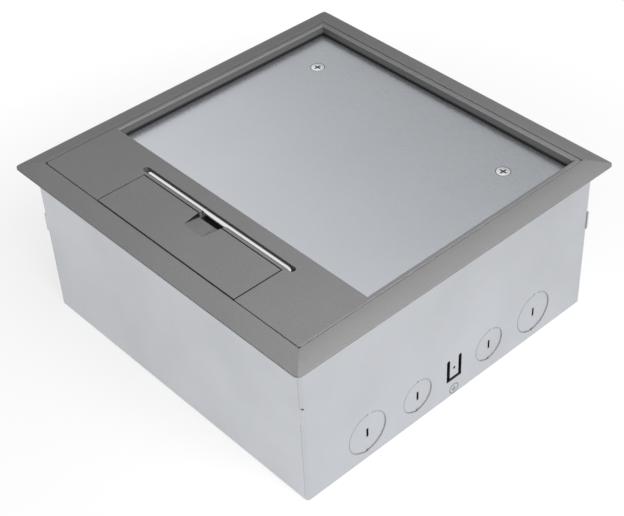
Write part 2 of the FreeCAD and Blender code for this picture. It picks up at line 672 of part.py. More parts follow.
def handle_clips():
    """Spring clips pushed on from the side that stop the legs when the handle is up."""
    z0 = CLIP_TOP - CLIP_THICK
    clip = centred(LEG_X, HANDLE_Y, CLIP, CLIP, z0, CLIP_TOP)
    mouth = block(LEG_X - HANDLE_ROD / 2, LEG_X + HANDLE_ROD / 2, HANDLE_Y - HANDLE_ROD / 2,
                  HANDLE_Y + CLIP, z0, CLIP_TOP)
    return both_x(clip.cut(mouth))


# ---- rails, partition, earth stud ------------------------------------------------------------------
def rail_hook(x):
    """Lip that holds down the end of an accessory plate, on the hinge side rail."""
    reach = PLATE_Y - HOOK_GRIP
    z0 = PLATE_FACE + REST_GAP
    upright = block(x - HOOK_WIDTH / 2, x + HOOK_WIDTH / 2, PLATE_Y + REST_GAP,
                    PLATE_Y + REST_GAP + HOOK_THICK, SEAT_Z, z0 + HOOK_THICK)
    lip = block(x - HOOK_WIDTH / 2, x + HOOK_WIDTH / 2, reach, PLATE_Y + REST_GAP,
                z0, z0 + HOOK_THICK)
    return upright.fuse(lip)


def plate_rails():
    """C-shaped rails: hooks on the hinge side, square screw holes on the handle side."""
    web = block(-RAIL_X, RAIL_X, RAIL_BACK - RAIL_THICK, RAIL_BACK, SHEET, SEAT_Z)
    foot = block(-RAIL_X, RAIL_X, RAIL_BACK - RAIL_FOOT, RAIL_BACK, SHEET,
                 SHEET + RAIL_THICK)
    shelf = block(-RAIL_X, RAIL_X, RAIL_BACK - RAIL_SHELF, RAIL_BACK,
                  SEAT_Z - RAIL_THICK, SEAT_Z)
    rail = join([web, foot, shelf])
    hooks = [rail_hook(PLATE_X - HOOK_SPACING / 2), rail_hook(PLATE_X + HOOK_SPACING / 2)]
    holes = both_x(centred(PLATE_X, PLATE_SCREW_Y, ACCESSORY_SCREW, ACCESSORY_SCREW,
                           SEAT_Z - RAIL_THICK, SEAT_Z))
    return [join([rail] + hooks + [mirrored_x(hook) for hook in hooks]),
            mirrored_y(rail).cut(holes)]


def partition():
    """Sheet wall between the power and the data side, spot-welded by its foot."""
    half_y = RAIL_BACK - RAIL_THICK - RAIL_SIDE
    foot_y = RAIL_BACK - RAIL_FOOT - RAIL_SIDE
    top = SEAT_Z - RAIL_THICK - RAIL_SIDE
    wall = block(-SHEET / 2, SHEET / 2, -half_y, half_y,
                 SHEET + RAIL_THICK + RAIL_SIDE, top)
    lower = block(-SHEET / 2, SHEET / 2, -foot_y, foot_y, SHEET, top)
    foot = block(-SHEET / 2, PARTITION_FOOT, -foot_y, foot_y, SHEET, 2 * SHEET)
    return [join([wall, lower, foot])]


def earth_stud_place():
    return -PARTITION_FOOT, -RAIL_BACK + RAIL_FOOT + 2 * EARTH_STUD


def earth_stud():
    """Stud welded to the base."""
    return [disc(*earth_stud_place(), SHEET, SHEET + EARTH_STUD_HEIGHT, EARTH_STUD)]


def earth_nut():
    x, y = earth_stud_place()
    top = SHEET + NUT_HEIGHT_SHARE * EARTH_STUD
    bore = disc(x, y, SHEET, top, EARTH_STUD)
    return [hexagon(x, y, SHEET, top, HEX_HEAD_SHARE * EARTH_STUD).cut(bore)]


# ---- accessory plates --------------------------------------------------------------------------------
def accessory_plate(centre_x):
    """Sheet plate with a slot for its screw, open to the handle side."""
    plate = centred(centre_x, 0, ACCESSORY_WIDTH, 2 * PLATE_Y, SEAT_Z, PLATE_FACE)
    plate = plate.makeChamfer(ACCESSORY_CORNER, upright_edges(plate))
    return plate.cut(open_slot(centre_x, PLATE_SCREW_Y, -PLATE_Y,
                               ACCESSORY_SCREW + 2 * SCREW_PLAY, SEAT_Z, PLATE_FACE))


def power_plate():
    cut = centred(SOCKET_X, 0, HOUSING_WIDTH + 2 * REST_GAP, HOUSING_LENGTH + 2 * REST_GAP,
                  SEAT_Z, PLATE_FACE)
    return [accessory_plate(-PLATE_X).cut(cut)]


def plate_screws():
    return both_x(screw(PLATE_X, PLATE_SCREW_Y, PLATE_FACE, ACCESSORY_SCREW,
                        ACCESSORY_SCREW_LENGTH))


# ---- twin socket -----------------------------------------------------------------------------------------
def socket_places():
    return [-SOCKET_PITCH / 2, SOCKET_PITCH / 2]


def rocker_places():
    return [-ROCKER_PITCH / 2, ROCKER_PITCH / 2]


def pin_apertures(y):
    live_x = SOCKET_X + PIN_SPACING / 2
    earth_x = SOCKET_X - PIN_SPACING / 2
    z0 = PLATE_FACE
    z1 = FRONT_TOP + 1
    return [centred(live_x, y - PIN_SPACING / 2, PIN_SLOT_SHORT, PIN_SLOT_LONG, z0, z1),
            centred(live_x, y + PIN_SPACING / 2, PIN_SLOT_SHORT, PIN_SLOT_LONG, z0, z1),
            centred(earth_x, y, EARTH_SLOT_LONG, PIN_SLOT_SHORT, z0, z1)]


def rocker_opening(y):
    return centred(SOCKET_X + ROCKER_SHIFT, y, ROCKER_LENGTH + 2 * ROCKER_GAP,
                   ROCKER_WIDTH + 2 * REST_GAP, PLATE_FACE, FRONT_TOP + 1)


def rocker_guard(y):
    """Walls round one rocker that carry its pivot."""
    wall = 2 * REST_GAP + 2 * FRONT_WALL
    return centred(SOCKET_X + ROCKER_SHIFT, y, ROCKER_LENGTH + 2 * ROCKER_GAP + 2 * FRONT_WALL,
                   ROCKER_WIDTH + wall, PLATE_FACE, FRONT_TOP - FRONT_SKIN)


def shutter_size():
    """Low and high x of a shutter and the half width of its head."""
    x0 = SOCKET_X - PIN_SPACING / 2 - EARTH_SLOT_LONG / 2 - SHUTTER_LAP
    x1 = SOCKET_X + PIN_SPACING / 2 + PIN_SLOT_SHORT / 2 + SHUTTER_LAP
    return x0, x1, PIN_SPACING / 2 + PIN_SLOT_LONG / 2 + SHUTTER_LAP


def shutter_guide(y):
    """U-shaped rib that guides a shutter and stops it at full travel."""
    _, x1, half = shutter_size()
    z0 = SHUTTER_Z
    z1 = FRONT_TOP - FRONT_SKIN
    inner = half + REST_GAP
    start = x1 - PIN_SLOT_SHORT
    stop = x1 + SHUTTER_TRAVEL + REST_GAP
    rib = block(start, stop + SHUTTER_GUIDE, y - inner - SHUTTER_GUIDE,
                y + inner + SHUTTER_GUIDE, z0, z1)
    return rib.cut(block(start, stop, y - inner, y + inner, z0, z1))


def pivot_notch(y):
    """Notch open to the back that a rocker pivot snaps into."""
    x = SOCKET_X + ROCKER_SHIFT
    diameter = ROCKER_PIVOT + 2 * RUN
    reach = ROCKER_WIDTH / 2 + REST_GAP + 0.6 * FRONT_WALL
    mouth = centred(x, y, diameter, 2 * reach, PLATE_FACE, PIVOT_Z)
    return rod_y(y - reach, y + reach, x, PIVOT_Z, diameter).fuse(mouth)


def socket_front():
    """White moulding with the pin apertures, hollow behind its face."""
    front = rounded(centred(SOCKET_X, 0, FRONT_WIDTH, FRONT_LENGTH, PLATE_FACE, FRONT_TOP),
                    FRONT_CORNER)
    front = front.makeChamfer(FRONT_BEVEL, edges_at(front, FRONT_TOP))
    hollow = centred(SOCKET_X, 0, HOUSING_WIDTH - 2 * HOUSING_WALL,
                     HOUSING_LENGTH - 2 * HOUSING_WALL, PLATE_FACE, FRONT_TOP - FRONT_SKIN)
    kept = [rocker_guard(y) for y in rocker_places()]
    kept += [shutter_guide(y) for y in socket_places()]
    front = front.cut(hollow.cut(kept))
    cuts = [a for y in socket_places() for a in pin_apertures(y)]
    for y in rocker_places():
        cuts.append(rocker_opening(y))
        cuts.append(pivot_notch(y))
    return [front.cut(cuts).removeSplitter()]


def socket_base():
    """Rear housing below the plate, with wire entries under the terminals."""
    z0 = PLATE_FACE - HOUSING_DEPTH
    outer = centred(SOCKET_X, 0, HOUSING_WIDTH, HOUSING_LENGTH, z0, PLATE_FACE)
    inner = centred(SOCKET_X, 0, HOUSING_WIDTH - 2 * HOUSING_WALL,
                    HOUSING_LENGTH - 2 * HOUSING_WALL, z0 + HOUSING_WALL, PLATE_FACE)
    entries = [centred(x, y, WIRE_ENTRY, WIRE_ENTRY, z0, z0 + HOUSING_WALL)
               for x, y in terminal_places()]
    return [outer.cut([inner] + entries)]


def shutter(y):
    """Plate behind the pin apertures that slides away from the earth side."""
    x0, x1, half = shutter_size()
    z1 = SHUTTER_Z + SHUTTER_THICK
    stem = block(x0, x1, y - PIN_SLOT_SHORT, y + PIN_SLOT_SHORT, SHUTTER_Z, z1)
    head = block(x1 - PIN_SLOT_SHORT - SHUTTER_HEAD, x1, y - half, y + half, SHUTTER_Z, z1)
    return [stem.fuse(head).removeSplitter()]


def rocker(y):
    """Switch rocker, at rest tilted towards its off side."""
    x = SOCKET_X + ROCKER_SHIFT
    half = ROCKER_LENGTH / 2
    shoulder = FRONT_TOP + ROCKER_PROUD
    crest = shoulder + ROCKER_CREST
    under = PLATE_FACE + ROCKER_FOOT
    side = [point(x - half, y, under), point(x - half, y, shoulder), point(x, y, crest),
            point(x + half, y, shoulder), point(x + half, y, under)]
    body = prism(side, AXIS_Y * ROCKER_WIDTH)
    body.translate(point(0, -ROCKER_WIDTH / 2, 0))
    reach = ROCKER_WIDTH / 2 + REST_GAP + 0.5 * FRONT_WALL
    pivot = rod_y(y - reach, y + reach, x, PIVOT_Z, ROCKER_PIVOT)
    whole = body.fuse(pivot).removeSplitter()
    return [whole.rotated(point(x, y, PIVOT_Z), AXIS_Y, -ROCKER_TILT)]


def contact_clip(x, y, along_x, long_side):
    """Brass fork that grips one pin."""
    z0 = PLATE_FACE - HOUSING_DEPTH + HOUSING_WALL
    z1 = SHUTTER_Z - CONTACT_DROP
    outer = CONTACT_GAP + 2 * CONTACT_LEAF
    size = (long_side, outer) if along_x else (outer, long_side)
    mouth = (long_side, CONTACT_GAP) if along_x else (CONTACT_GAP, long_side)
    fork = centred(x, y, *size, z0, z1)
    return fork.cut(centred(x, y, *mouth, z0 + CONTACT_WEB, z1))


def socket_contacts():
    clips = []
    for y in socket_places():
        for side in (-1, 1):
            clips.append(contact_clip(SOCKET_X + PIN_SPACING / 2, y + side * PIN_SPACING / 2,
                                      False, PIN_SLOT_LONG))
        clips.append(contact_clip(SOCKET_X - PIN_SPACING / 2, y, True, EARTH_SLOT_LONG))
    return clips


def terminal_places():
    return [(SOCKET_X, (i - 1) * ROCKER_PITCH) for i in range(3)]


def terminals():
    """Brass terminal blocks, each with a square hole for the wires."""
    z0 = PLATE_FACE - HOUSING_DEPTH + HOUSING_WALL
    return [centred(x, y, TERMINAL, TERMINAL, z0, z0 + TERMINAL).cut(
                centred(x, y, WIRE_ENTRY, WIRE_ENTRY, z0, z0 + 0.75 * TERMINAL))
            for x, y in terminal_places()]


# ---- data outlets ------------------------------------------------------------------------------
def module_places():
    first = -MODULE_PITCH * (MODULE_COUNT - 1) / 2
    return [first + MODULE_PITCH * i for i in range(MODULE_COUNT)]


def module_body_size():
    return MODULE_LENGTH - 2 * MODULE_BODY_INSET, MODULE_WIDTH - 2 * MODULE_BODY_INSET


def data_plate():
    length, width = module_body_size()
    cuts = [centred(PLATE_X, y, length + 2 * REST_GAP, width + 2 * REST_GAP,
                    SEAT_Z, PLATE_FACE) for y in module_places()]
    return [accessory_plate(PLATE_X).cut(cuts)]


def jack_modules():
    length, width = module_body_size()
    modules = []
    for y in module_places():
        face_top = PLATE_FACE + MODULE_FACE
        face = centred(PLATE_X, y, MODULE_LENGTH, MODULE_WIDTH, PLATE_FACE, face_top)
        face = face.makeChamfer(MODULE_BEVEL, edges_at(face, face_top))
        body = centred(PLATE_X, y, length, width, face_top - MODULE_DEPTH, PLATE_FACE)
        jack = centred(PLATE_X, y, JACK_HEIGHT, JACK_WIDTH, face_top - JACK_DEPTH,
                       face_top + 1)
        latch = centred(PLATE_X + JACK_HEIGHT / 2, y, 3.0, JACK_WIDTH / 2,
                        face_top - JACK_DEPTH / 2, face_top + 1)
        modules.append(join([face, body]).cut([jack, latch]))
    return modules


SHUTTERS = dict(zip(("shutter_a", "shutter_b"), socket_places()))
ROCKERS = dict(zip(("rocker_a", "rocker_b"), rocker_places()))


def main():
    os.makedirs("parts", exist_ok=True)
    for build in (back_box, corner_brackets, trim_frame, frame_screws, hinge_pins,
                  lid_moulding, lid_plate, lid_screws, lid_nuts, lid_stiffener, outlet_flap,
                  flap_pins, lift_handle, handle_clips,
                  plate_rails, partition, earth_stud, earth_nut,
                  power_plate, data_plate, plate_screws, socket_front, socket_base,
                  socket_contacts, terminals, jack_modules):
        save(build.__name__, build())
    for name, y in SHUTTERS.items():
        save(name, shutter(y))
    for name, y in ROCKERS.items():
        save(name, rocker(y))


main()
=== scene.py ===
import math

import bmesh
import bpy
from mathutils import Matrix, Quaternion, Vector


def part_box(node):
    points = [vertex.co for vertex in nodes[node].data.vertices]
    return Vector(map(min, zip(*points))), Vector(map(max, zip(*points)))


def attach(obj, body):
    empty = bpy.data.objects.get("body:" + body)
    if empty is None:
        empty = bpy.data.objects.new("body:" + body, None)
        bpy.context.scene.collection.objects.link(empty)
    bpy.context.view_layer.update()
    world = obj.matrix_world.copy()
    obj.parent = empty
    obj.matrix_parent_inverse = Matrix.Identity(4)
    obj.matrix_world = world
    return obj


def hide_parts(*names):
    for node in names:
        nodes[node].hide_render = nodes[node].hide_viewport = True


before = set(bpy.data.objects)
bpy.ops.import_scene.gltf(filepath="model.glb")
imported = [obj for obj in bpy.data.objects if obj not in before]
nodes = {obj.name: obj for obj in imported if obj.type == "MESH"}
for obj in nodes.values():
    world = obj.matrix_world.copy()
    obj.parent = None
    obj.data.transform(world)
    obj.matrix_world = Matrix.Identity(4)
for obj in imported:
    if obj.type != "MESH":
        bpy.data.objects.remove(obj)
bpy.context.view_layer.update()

MM = 0.001                 # metres in a millimetre
NOISE_RANGE = (0.3, 0.7)   # what the noise texture really covers
EDGE_RANGE = (0.995, 0.8)  # cosine between the two normals where an edge starts and is full
MIX_FACTOR, MIX_FIRST, MIX_SECOND, MIX_RESULT = 0, 6, 7, 2  # colour sockets of the Mix node
HALF = 0.5                 # limit that splits a 0 to 1 value in two


# ---- materials ----------------------------------------------------------------
class Finish:
    """A procedural material, worked out in the object's own space."""

    def __init__(self, name):
        self.material = bpy.data.materials.new(name)
        self.material.use_nodes = True
        self.tree = self.material.node_tree
        self.shader = self.tree.nodes["Principled BSDF"]

    def add(self, kind, **values):
        node = self.tree.nodes.new("ShaderNode" + kind)
        for key, value in values.items():
            node.inputs[key.replace("_", " ")].default_value = value
        return node

    def link(self, source, target):
        self.tree.links.new(source, target)

    def noise(self, per_mm, detail):
        """Noise with so many features to the millimetre along each axis."""
        coords = self.add("TexCoord")
        mapping = self.add("Mapping", Scale=[1000.0 * n for n in per_mm])
        noise = self.add("TexNoise", Scale=1.0, Detail=detail)
        self.link(coords.outputs["Object"], mapping.inputs["Vector"])
        self.link(mapping.outputs["Vector"], noise.inputs["Vector"])
        return noise.outputs[0]

    def spread(self, factor, low, high):
        """Noise stretched to the given range."""
        node = self.add("MapRange", From_Min=NOISE_RANGE[0], From_Max=NOISE_RANGE[1],
                        To_Min=low, To_Max=high)
        self.link(factor, node.inputs["Value"])
        return node.outputs["Result"]

    def mixed(self, factor, first, second):
        """Colour between two colours or sockets."""
        node = self.add("Mix")
        node.data_type = "RGBA"
        self.link(factor, node.inputs[MIX_FACTOR])
        for socket, value in ((node.inputs[MIX_FIRST], first),
                              (node.inputs[MIX_SECOND], second)):
            if isinstance(value, bpy.types.NodeSocket):
                self.link(value, socket)
            else:
                socket.default_value = value
        return node.outputs[MIX_RESULT]

    def edge_mask(self, softened):
        """High where the rounded normal leaves the face's own, along an edge; this places the painted edge
        highlight.
        """
        geometry = self.add("NewGeometry")
        dot = self.add("VectorMath")
        dot.operation = "DOT_PRODUCT"
        self.link(softened, dot.inputs[0])
        self.link(geometry.outputs["True Normal"], dot.inputs[1])
        mask = self.add("MapRange", From_Min=EDGE_RANGE[0], From_Max=EDGE_RANGE[1],
                        To_Min=0.0, To_Max=1.0)
        self.link(dot.outputs["Value"], mask.inputs["Value"])
        return mask.outputs["Result"]

    def compare(self, operation, value, limit):
        """1 where the comparison holds, else 0."""
        node = self.add("Math")
        node.operation = operation
        self.link(value, node.inputs[0])
        node.inputs[1].default_value = limit
        return node.outputs["Value"]

    def both(self, first, second):
        """1 where both masks are 1."""
        node = self.add("Math")
        node.operation = "MULTIPLY"
        self.link(first, node.inputs[0])
        self.link(second, node.inputs[1])
        return node.outputs["Value"]

    def axes(self, vector):
        node = self.add("SeparateXYZ")
        self.link(vector, node.inputs["Vector"])
        return node.outputs["X"], node.outputs["Y"], node.outputs["Z"]

    def size_of(self, value):
        node = self.add("Math")
        node.operation = "ABSOLUTE"
        self.link(value, node.inputs[0])
        return node.outputs["Value"]

    def upright_mask(self, steep):
        """1 on faces that stand upright, such as the sides of gaps and grooves, where shade is painted."""
        normal = self.add("TexCoord").outputs["Normal"]
        return self.compare("LESS_THAN", self.size_of(self.axes(normal)[2]), steep)

    def cut_edge_mask(self, wall_x, lowest_z, widest, highest_z):
        """1 on the cut faces of openings in the two walls that stand across X."""
        coords = self.add("TexCoord")
        normal_x = self.size_of(self.axes(coords.outputs["Normal"])[0])
        place_x, place_y, place_z = self.axes(coords.outputs["Object"])
        in_wall = self.compare("GREATER_THAN", self.size_of(place_x), wall_x * MM)
        inside = self.compare("LESS_THAN", self.size_of(place_y), widest * MM)
        above = self.compare("GREATER_THAN", place_z, lowest_z * MM)
        low = self.compare("LESS_THAN", place_z, highest_z * MM)
        across = self.compare("LESS_THAN", normal_x, HALF)
        return self.both(self.both(self.both(in_wall, inside), self.both(above, low)), across)


def shade(colour, factor):
    """A lighter or darker tone of a colour, with alpha."""
    return [min(1.0, c * factor) for c in colour[:3]] + [1.0]


def finish(name, colour, rough, metal=0.0, vary=0.05, blotch=0.03, grain=(3.0, 3.0, 3.0),
           depth=0.02, rough_vary=0.05, edge=0.2, edge_highlight=0.0, speckle=0.0, specular=0.5,
           upright=None, steep=0.5, bare_cut_and_shade=None, shade_below=None):
    """Base colour with slow blotches and fine grain, grain in bump and roughness, soft edges, a painted
    highlight along edges, painted shade on upright faces and below a height, and cut faces painted near
    black, partly as shade.
    """
    f = Finish(name)
    slow = f.noise((blotch, blotch, blotch), 3.0)
    fine = f.noise(grain, 2.0)
    tone = f.mixed(f.spread(slow, 0.0, 1.0), shade(colour, 1 - vary), shade(colour, 1 + vary))
    if speckle:
        grained = f.add("HueSaturation", Hue=0.5, Saturation=1.0)
        f.link(tone, grained.inputs["Color"])
        f.link(f.spread(fine, 1 - speckle, 1 + speckle), grained.inputs["Value"])
        tone = grained.outputs["Color"]
    bevel = f.add("Bevel", Radius=edge * MM)
    bevel.samples = 4
    # Painted highlight: base colour made lighter along the rounded edges.
    if edge_highlight:
        tone = f.mixed(f.edge_mask(bevel.outputs["Normal"]), tone, shade(colour, 1 + edge_highlight))
    # Painted shade: faces that stand upright, such as the sides of gaps and grooves, made darker.
    if upright:
        tone = f.mixed(f.upright_mask(steep), tone, shade(colour, upright))
    # Painted shade: all of the surface below the given height made darker.
    if shade_below:
        height = f.axes(f.add("TexCoord").outputs["Object"])[2]
        tone = f.mixed(f.compare("LESS_THAN", height, shade_below * MM), tone,
                       shade(colour, DEEP_SHADE))
    # Cut faces of the wall openings near black and not metallic: partly the bare cut steel, partly painted
    # shade inside the openings.
    if bare_cut_and_shade:
        mask = f.cut_edge_mask(*CUT_EDGE_ZONE)
        tone = f.mixed(mask, tone, shade(colour, bare_cut_and_shade))
        f.link(f.compare("LESS_THAN", mask, HALF), f.shader.inputs["Metallic"])
    f.link(tone, f.shader.inputs["Base Color"])
    f.link(f.spread(fine, rough - rough_vary, rough + rough_vary), f.shader.inputs["Roughness"])
    bump = f.add("Bump", Strength=1.0, Distance=depth * MM)
    f.link(fine, bump.inputs["Height"])
    f.link(bevel.outputs["Normal"], bump.inputs["Normal"])
    f.link(bump.outputs["Normal"], f.shader.inputs["Normal"])
    f.shader.inputs["Metallic"].default_value = metal
    f.shader.inputs["Specular IOR Level"].default_value = specular
    return f.material


# Inside of the wall sheet, top of the foot bend, widest and highest place of the openings.
CUT_EDGE_ZONE = (101.25, 2.0, 0.9 * 101.25, 0.5 * 101.25)
DEEP_SHADE = 0.12             # painted shade: tone of everything below a height, such as the bottom of the lid's grooves
BRUSHED_X = (0.14, 8.0, 3.0)  # features to the millimetre, long along X
ISOTROPIC = (2.2, 2.2, 2.2)
# In these finishes the edge values paint a highlight along edges, the upright and height values paint shade
# on the sides and bottoms of gaps and grooves, and the cut value paints the openings' cut faces near black,
# partly as shade.
looks = {
    "galvanised": finish("zinc_coated_sheet", (0.555, 0.572, 0.6), 0.34, metal=1.0, vary=0.02,
                         blotch=0.02, grain=(0.6, 0.6, 0.6), depth=0.004, rough_vary=0.03,
                         edge=0.4, edge_highlight=0.2),
    "sheet_box": finish("zinc_coated_box", (0.555, 0.572, 0.6), 0.34, metal=1.0, vary=0.045,
                        blotch=0.02, grain=(0.6, 0.6, 0.6), depth=0.004, rough_vary=0.03,
                        edge=0.4, edge_highlight=0.2, bare_cut_and_shade=0.05),
    "frame_plastic": finish("frame_moulding", (0.178, 0.176, 0.177), 0.5, vary=0.03,
                            grain=ISOTROPIC, depth=0.03, edge=0.35, edge_highlight=0.25,
                            speckle=0.12, specular=0.5, upright=0.8),
    "lid_plastic": finish("lid_moulding", (0.175, 0.173, 0.174), 0.5, vary=0.03,
                          grain=ISOTROPIC, depth=0.03, edge=0.35, edge_highlight=0.25,
                          speckle=0.12, specular=0.5, upright=0.55, shade_below=93.6),
    "flap_plastic": finish("flap_moulding", (0.175, 0.173, 0.174), 0.5, vary=0.03,
                           grain=ISOTROPIC, depth=0.03, edge=0.35, edge_highlight=0.1,
                           speckle=0.12, specular=0.5, upright=0.04, steep=0.75),
    "lid_metal": finish("brushed_plate", (0.62, 0.645, 0.68), 0.3, metal=1.0, vary=0.015,
                        blotch=0.02, grain=BRUSHED_X, depth=0.002, rough_vary=0.05,
                        edge=0.3, edge_highlight=0.35, speckle=0.03),
    "lid_screw": finish("lid_screw_zinc", (0.92, 0.93, 0.94), 0.42, metal=1.0, grain=(2, 2, 2),
                        depth=0.006, edge=0.15),
    "zinc_screw": finish("screw_zinc", (0.7, 0.71, 0.72), 0.3, metal=1.0, grain=(2, 2, 2),
                         depth=0.006, edge=0.15),
    "pin_steel": finish("pin_steel", (0.6, 0.61, 0.63), 0.25, metal=1.0, grain=(0.5, 6, 6),
                        depth=0.003, edge=0.1),
    "stainless": finish("satin_rod", (0.8, 0.8, 0.8), 0.24, metal=1.0, vary=0.02,
                        grain=(0.1, 6, 6), depth=0.003, edge=0.1, speckle=0.04),
    "accessory_steel": finish("coated_steel", (0.55, 0.56, 0.57), 0.45, vary=0.02,
                              grain=(1.2, 1.2, 1.2), depth=0.03, edge=0.3, edge_highlight=0.1),
    "white_plastic": finish("white_moulding", (0.8, 0.8, 0.78), 0.32, vary=0.015,
                            grain=(1, 1, 1), depth=0.004, edge=0.5),
    "housing_plastic": finish("housing_moulding", (0.68, 0.68, 0.66), 0.5, vary=0.02,
                              grain=ISOTROPIC, depth=0.02, edge=0.4),
    "shutter_plastic": finish("shutter_moulding", (0.35, 0.35, 0.36), 0.45, vary=0.02,
                              grain=ISOTROPIC, depth=0.01, edge=0.2),
    "brass": finish("brass", (0.78, 0.6, 0.28), 0.3, metal=1.0, vary=0.04, grain=(0.4, 4, 4),
                    depth=0.004, edge=0.15),
}
shear_mark = finish("sheared_edge", (0.3, 0.31, 0.33), 0.5, metal=0.6, vary=0.1,
                    grain=(4, 4, 4), depth=0.01, edge=0.05)
# Painted shade for the lid screws' cross recesses and the rings round them; also the earth mark's own dark
# colour.
recess_shade_and_mark = finish("recess_shade_and_earth_mark", (0.1, 0.105, 0.11), 0.5, metal=0.5, vary=0.1,
                    grain=(4, 4, 4), depth=0.01, edge=0.05)

for part in nodes.values():
    slot = part.data.materials[0].name
    part.data.materials.clear()
    part.data.materials.append(looks[slot])
nodes["back_box"].data.materials[0] = looks["sheet_box"]
nodes["outlet_flap"].data.materials[0] = looks["flap_plastic"]

# ---- mesh helpers -----------------------------------------------------------------
def piece(name, body, mesh, look, smooth=True, stands_for=()):
    """A new object in the row frame, from a bmesh in millimetres."""
    bmesh.ops.recalc_face_normals(mesh, faces=mesh.faces)
    bmesh.ops.scale(mesh, vec=(MM, MM, MM), verts=mesh.verts)
    data = bpy.data.meshes.new(name)
    mesh.to_mesh(data)
    mesh.free()
    made = bpy.data.objects.new(name, data)
    bpy.context.scene.collection.objects.link(made)
    data.materials.append(look)
    if smooth:
        data.shade_smooth()
        data.set_sharp_from_angle(angle=math.radians(35.0))
    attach(made, body)
    if stands_for:
        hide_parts(*stands_for)
    return made


def box_of(node):
    """A node's lowest and highest corners in millimetres."""
    low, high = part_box(node)
    return low / MM, high / MM


def grid_faces(mesh, rows, closed):
    """Faces between rows of as many vertices, closed round each row if asked."""
    for first, second in zip(rows, rows[1:]):
        count = len(first)
        for i in range(count if closed else count - 1):
            j = (i + 1) % count
            mesh.faces.new((first[i], first[j], second[j], second[i]))


def turned(mesh, place, profile, segments=48, limit=None, axis="z"):
    """Solid of revolution from (radius, height) pairs; limit(angle) may flatten its sides."""
    rows = []
    for radius, height in profile:
        row = []
        for i in range(segments):
            angle = 2 * math.pi * i / segments
            r = radius if limit is None else min(radius, limit(angle))
            spot = Vector((r * math.cos(angle), r * math.sin(angle), height))
            if axis == "x":
                spot = Vector((spot.z, spot.x, spot.y))
            row.append(mesh.verts.new(Vector(place) + spot))
        rows.append(row)
    grid_faces(mesh, rows, True)
    mesh.faces.new(rows[0])
    mesh.faces.new(rows[-1])


def slab(mesh, low, high):
    """Box between two corners."""
    xs, ys, zs = zip(low, high)
    corners = [[mesh.verts.new((x, y, z)) for x, y in
                ((xs[0], ys[0]), (xs[1], ys[0]), (xs[1], ys[1]), (xs[0], ys[1]))] for z in zs]
    grid_faces(mesh, corners, True)
    mesh.faces.new(corners[0])
    mesh.faces.new(corners[1])


def hexagon(across_flats):
    """Distance from the middle to the side of a hexagon, at an angle."""
    def distance(angle):
        turn = (angle + math.pi / 6) % (math.pi / 3) - math.pi / 6
        return across_flats / 2 / math.cos(math.pi / 6 - abs(turn))
    return distance


ROWS_TO_THE_PITCH = 4
TIP_TAPER = 0.5


def threaded(mesh, place, radius, low, high, pitch, root=0.3, segments=24):
    """Threaded shank between two heights, its crests at the radius, its tip chamfered."""
    steps = max(ROWS_TO_THE_PITCH, int((high - low) / pitch * ROWS_TO_THE_PITCH))
    depth = root * pitch
    rows = []
    for k in range(steps + 1):
        height = low + (high - low) * k / steps
        taper = max(0.0, pitch - (height - low))
        row = []
        for i in range(segments):
            share = (height / pitch + i / segments) % 1.0
            r = radius - depth * abs(2 * share - 1) - TIP_TAPER * taper
            angle = 2 * math.pi * i / segments
            row.append(mesh.verts.new((place[0] + r * math.cos(angle),
                                       place[1] + r * math.sin(angle), height)))
        rows.append(row)
    grid_faces(mesh, rows, True)
    mesh.faces.new(rows[0])
    mesh.faces.new(rows[-1])


# ---- screws and stud -----------------------------------------------------------------
FLATS_SHARE = 1.75       # hexagon across flats, to the thread's diameter
HEAD_SHARE = 0.65        # head height, to the thread's diameter
WASHER_SHARE = 0.12      # washer face and dish, to the head's height
WASHER_FACE = 0.94       # washer face, to the hexagon across flats


def hex_screws(name, node, body, diameter, pitch, slot):
    """Chamfered hexagon heads on threaded shanks, in the mirrored places of the CAD screws."""
    low, high = box_of(node)
    flats = FLATS_SHARE * diameter
    head = HEAD_SHARE * diameter
    half_y = flats / 2
    half_x = flats / math.sqrt(3)
    xs = (low.x + half_x, high.x - half_x)
    ys = (low.y + half_y, high.y - half_y)
    if high.y - low.y < 3 * flats:
        ys = (ys[0],)
    mesh = bmesh.new()
    for x in xs:
        for y in ys:
            seat = high.z - head
            washer = WASHER_SHARE * head
            face = WASHER_FACE * flats / 2
            rim = half_x
            turned(mesh, (x, y, 0), [(face, seat), (face, seat + washer),
                                     (rim, seat + washer), (rim, high.z - 0.3 * head),
                                     (0.86 * rim, high.z), (0.5 * rim, high.z),
                                     (0.44 * rim, high.z - WASHER_SHARE * head)],
                   limit=hexagon(flats))
            threaded(mesh, (x, y), diameter / 2, low.z, seat, pitch)
    return piece(name, body, mesh, looks[slot], stands_for=(node,))


hex_screws("frame_screws_threaded", "frame_screws", "box", 4.0, 0.7, "zinc_screw")
hex_screws("plate_screws_threaded", "plate_screws", "box", 3.5, 0.6, "zinc_screw")

STUD_PITCH = 0.8
stud_low, stud_high = box_of("earth_stud")
stud_middle = (stud_low + stud_high) / 2
mesh = bmesh.new()
threaded(mesh, (stud_middle.x, stud_middle.y), (stud_high.x - stud_low.x) / 2,
         stud_low.z, stud_high.z, STUD_PITCH)
for vert in mesh.verts:
    vert.co.z = stud_low.z + stud_high.z - vert.co.z
piece("earth_stud_threaded", "box", mesh, looks["brass"], stands_for=("earth_stud",))


CROSS_TIP, CROSS_RIM, CROSS_OVER = 0.55, 1.1, 0.2  # taper below and above, and overshoot
DARK_SLOT = 1             # second material of the lid screws, painted shade in the recess


